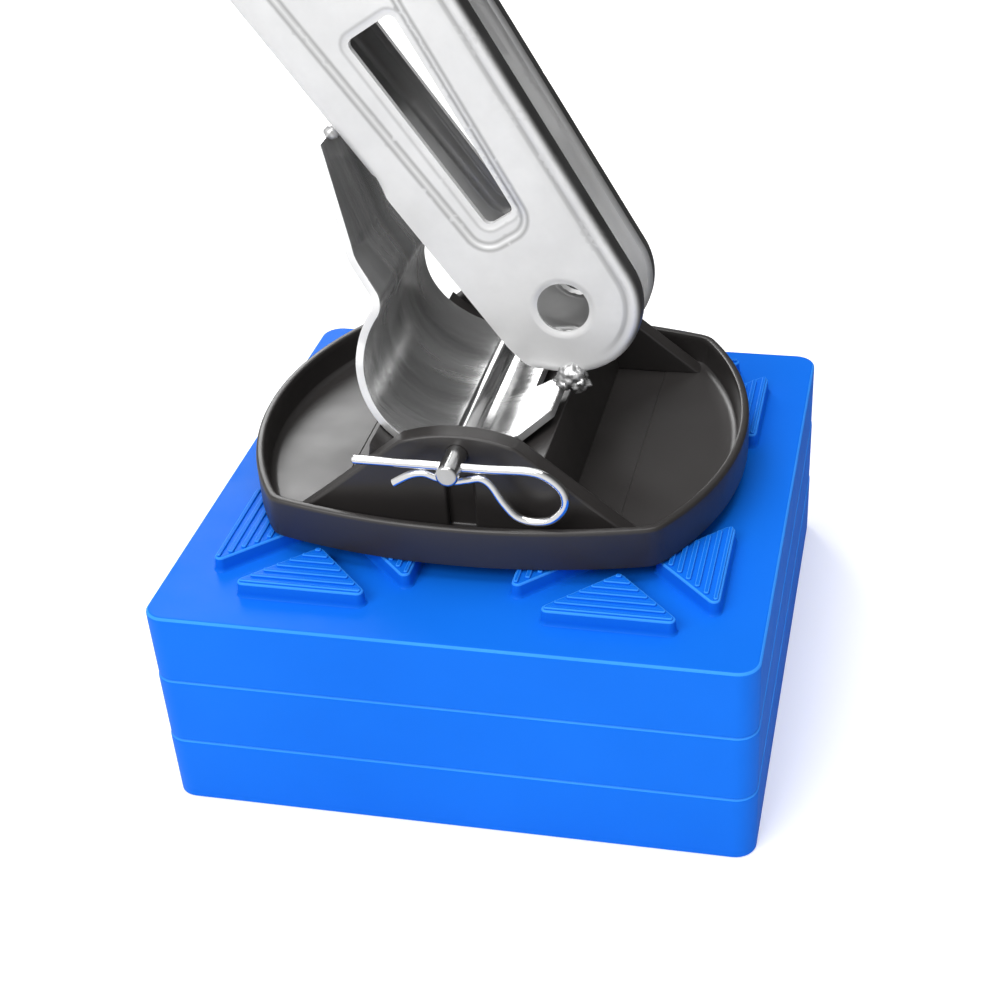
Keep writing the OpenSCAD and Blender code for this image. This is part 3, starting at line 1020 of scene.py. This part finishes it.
def make_bush():
    px, pz = HX + LEG_L * UX, HZ + LEG_L * UZ
    y0, y1 = NEAR - 3, FAR + 3
    prof = [(6.9, y0), (10.4, y0), (11.0, y0 + 0.6), (11.0, y1 - 0.6), (10.4, y1), (6.9, y1), (6.25, y1 - 0.6), (6.25, y0 + 0.6)]
    ob = lathe_y("bush", prof, px, pz, M_PIN, 48, closed=True)
    done(ob, "leg", "pin_steel", "pivot_bush", angle=30)


make_bush()


# ---------------------------------------------------------------- welds
def blob(name, c, r, seed, amp=0.18, sub=4):
    bm = bmesh.new()
    bmesh.ops.create_icosphere(bm, subdivisions=sub, radius=1)
    for v in bm.verts:
        n = v.co.normalized()
        k = 1 + amp * noise.noise(n * 2.1 + Vector((seed, 0, 0))) + amp * 0.6 * noise.noise(n * 5.0 + Vector((0, seed, 0)))
        v.co = Vector((n.x * r[0] * k + c[0], n.y * r[1] * k + c[1], n.z * r[2] * k + c[2])) * 0.001
    me = bpy.data.meshes.new(name)
    bm.to_mesh(me)
    bm.free()
    me.materials.append(M_WELD)
    ob = bpy.data.objects.new(name, me)
    bpy.context.scene.collection.objects.link(ob)
    return ob


def make_welds():
    parts = []
    for side, y in ((0, NEAR + 0.2), (1, FAR - 0.2)):
        s = 1 if side else -1
        parts.append(blob("w", (27.6, y + s * 0.6, PZ + 43.4), (5.6, 3.6, 4.6), 3.1 + side, 0.26))
        parts.append(blob("w", (30.0, y + s * 0.4, PZ + 41.2), (4.6, 3.3, 4.0), 7.7 + side, 0.30))
        parts.append(blob("w", (25.6, y + s * 0.2, PZ + 41.4), (4.0, 2.9, 3.4), 5.2 + side, 0.3))
    k = 7
    for i in range(k):
        y = NEAR + 3.6 + (LEG_W - 7.2) * i / (k - 1)
        parts.append(blob("w", (-54.2 + 0.3 * sin(i * 2.1), y, PZ + 131.8 + 0.35 * cos(i * 1.7)), (2.6, 2.9, 2.6), 11.0 + i, 0.22, 3))
    ob = join("weld_beads", parts)
    done(ob, "leg", "weld_metal", "foot_welds", angle=80, weighted=False)


make_welds()


# ---------------------------------------------------------------- floor, light and camera
def floor():
    me = bpy.data.meshes.new("studio_floor")
    s = 6
    me.from_pydata([(-s, -s, -0.0002), (s, -s, -0.0002), (s, s, -0.0002), (-s, s, -0.0002)], [], [(0, 1, 2, 3)])
    m, nt, p = new_mat("studio_floor")
    n = noise_tex(nt, coords(nt), 3, 2)
    nt.links.new(ramp(nt, n, [(0.3, (0.92, 0.92, 0.92)), (0.7, (0.95, 0.95, 0.95))]), p.inputs["Base Color"])
    p.inputs["Roughness"].default_value = 0.9
    p.inputs["Specular IOR Level"].default_value = 0.0
    p.inputs["Emission Color"].default_value = (1, 1, 1, 1)
    p.inputs["Emission Strength"].default_value = 0.28
    me.materials.append(m)
    ob = bpy.data.objects.new("studio_floor", me)
    bpy.context.scene.collection.objects.link(ob)
    ob.visible_glossy = False


floor()


def area(name, loc, target, size, energy, color=(1, 1, 1)):
    l = bpy.data.lights.new(name, "AREA")
    l.shape = "RECTANGLE"
    l.size, l.size_y = size
    l.energy = energy
    l.color = color
    ob = bpy.data.objects.new(name, l)
    bpy.context.scene.collection.objects.link(ob)
    ob.location = loc
    ob.rotation_euler = (Vector(target) - Vector(loc)).to_track_quat("-Z", "Y").to_euler()
    return ob


area("key", (-0.7, -1.5, 1.5), (0, 0, 0.08), (1.4, 1.0), 27)
area("top", (0.0, 0.0, 1.7), (0, 0, 0.08), (1.3, 1.3), 17)
area("back_left", (-0.62, 1.08, 0.80), (-0.03, 0.0, 0.1), (0.40, 0.74), 6.4)

w = bpy.data.worlds.new("studio")
bpy.context.scene.world = w
w.use_nodes = True
wn = w.node_tree
bg = wn.nodes["Background"]
tc = wn.nodes.new("ShaderNodeTexCoord")
dot = wn.nodes.new("ShaderNodeVectorMath")
dot.operation = "DOT_PRODUCT"
dot.inputs[1].default_value = Vector((0.66, 0.72, 0.20)).normalized()
wn.links.new(tc.outputs["Generated"], dot.inputs[0])
wr = ramp(wn, to_range(wn, dot.outputs["Value"], 0.0, 1.0, -1.0, 1.0), [(0.3, (0.52, 0.52, 0.52)), (0.8, (0.46, 0.46, 0.46))])
wg = ramp(wn, to_range(wn, dot.outputs["Value"], 0.0, 1.0, -1.0, 1.0), [(0.2, (1.25, 1.25, 1.25)), (0.55, (0.62, 0.62, 0.62)), (0.86, (0.08, 0.08, 0.08))])
path = wn.nodes.new("ShaderNodeLightPath")
mix = wn.nodes.new("ShaderNodeMix")
mix.data_type = "RGBA"
wn.links.new(path.outputs["Is Glossy Ray"], mix.inputs["Factor"])
wn.links.new(wr, mix.inputs["A"])
wn.links.new(wg, mix.inputs["B"])
wn.links.new(mix.outputs["Result"], bg.inputs[0])
bg.inputs[1].default_value = 0.7

cam = bpy.data.cameras.new("camera")
cam.sensor_width = 36
cam.lens = 64.782
cam.shift_x = -0.06
cam.clip_start = 0.01
cam.clip_end = 50
co = bpy.data.objects.new("camera", cam)
bpy.context.scene.collection.objects.link(co)
az, el, roll = 0.2293, 0.58354, -0.04932
back = Vector((sin(az) * cos(el), -cos(az) * cos(el), sin(el)))
right0 = Vector((cos(az), sin(az), 0))
up0 = back.cross(right0)
right = cos(roll) * right0 + sin(roll) * up0
up = -sin(roll) * right0 + cos(roll) * up0
pos = (right * 15.859 + up * 58.765 + back * 737.62) * 0.001
co.matrix_world = Matrix(((right.x, up.x, back.x, pos.x), (right.y, up.y, back.y, pos.y), (right.z, up.z, back.z, pos.z), (0, 0, 0, 1)))
bpy.context.scene.camera = co

sc = bpy.context.scene
sc.view_settings.view_transform = "Standard"
sc.view_settings.look = "None"
sc.view_settings.exposure = 0.0
